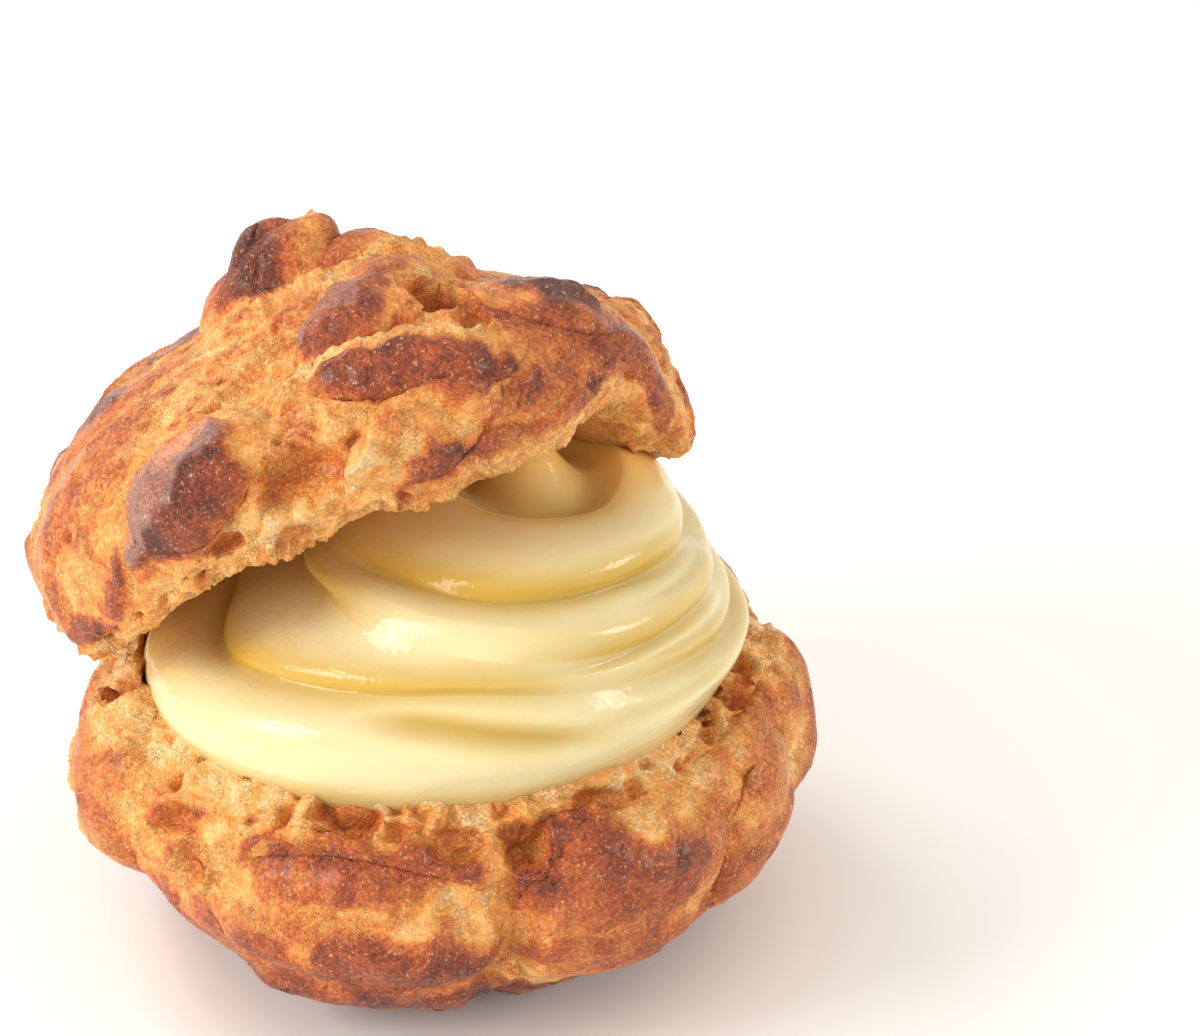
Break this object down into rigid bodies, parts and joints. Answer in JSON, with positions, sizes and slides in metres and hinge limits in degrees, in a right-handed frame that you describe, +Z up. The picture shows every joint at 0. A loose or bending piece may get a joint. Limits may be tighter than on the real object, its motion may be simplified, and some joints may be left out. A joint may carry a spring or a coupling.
{
  "type": "cream puff",
  "caption": "Choux cream puff: a bowl-shaped lower half filled with a piped swirl of custard cream, with its cap tipped back on top.",
  "frame": {"origin": "on the table, under the middle of the puff's outline", "axes": "+Z up, -Y towards the viewer, +X to the viewer's right"},
  "size_m": [0.0857, 0.0823, 0.0811],
  "materials": {
    "choux_base": "baked choux crust, dull, golden brown with pale crumb at its torn rim",
    "custard_cream": "smooth glossy pale yellow custard",
    "choux_lid": "baked choux crust, dull to slightly glossy on its dark blisters"
  },
  "bodies": {
    "root": {"base_shell": "choux_base", "cream_filling": "custard_cream", "lid_shell": "choux_lid"}
  },
  "joints": []
}
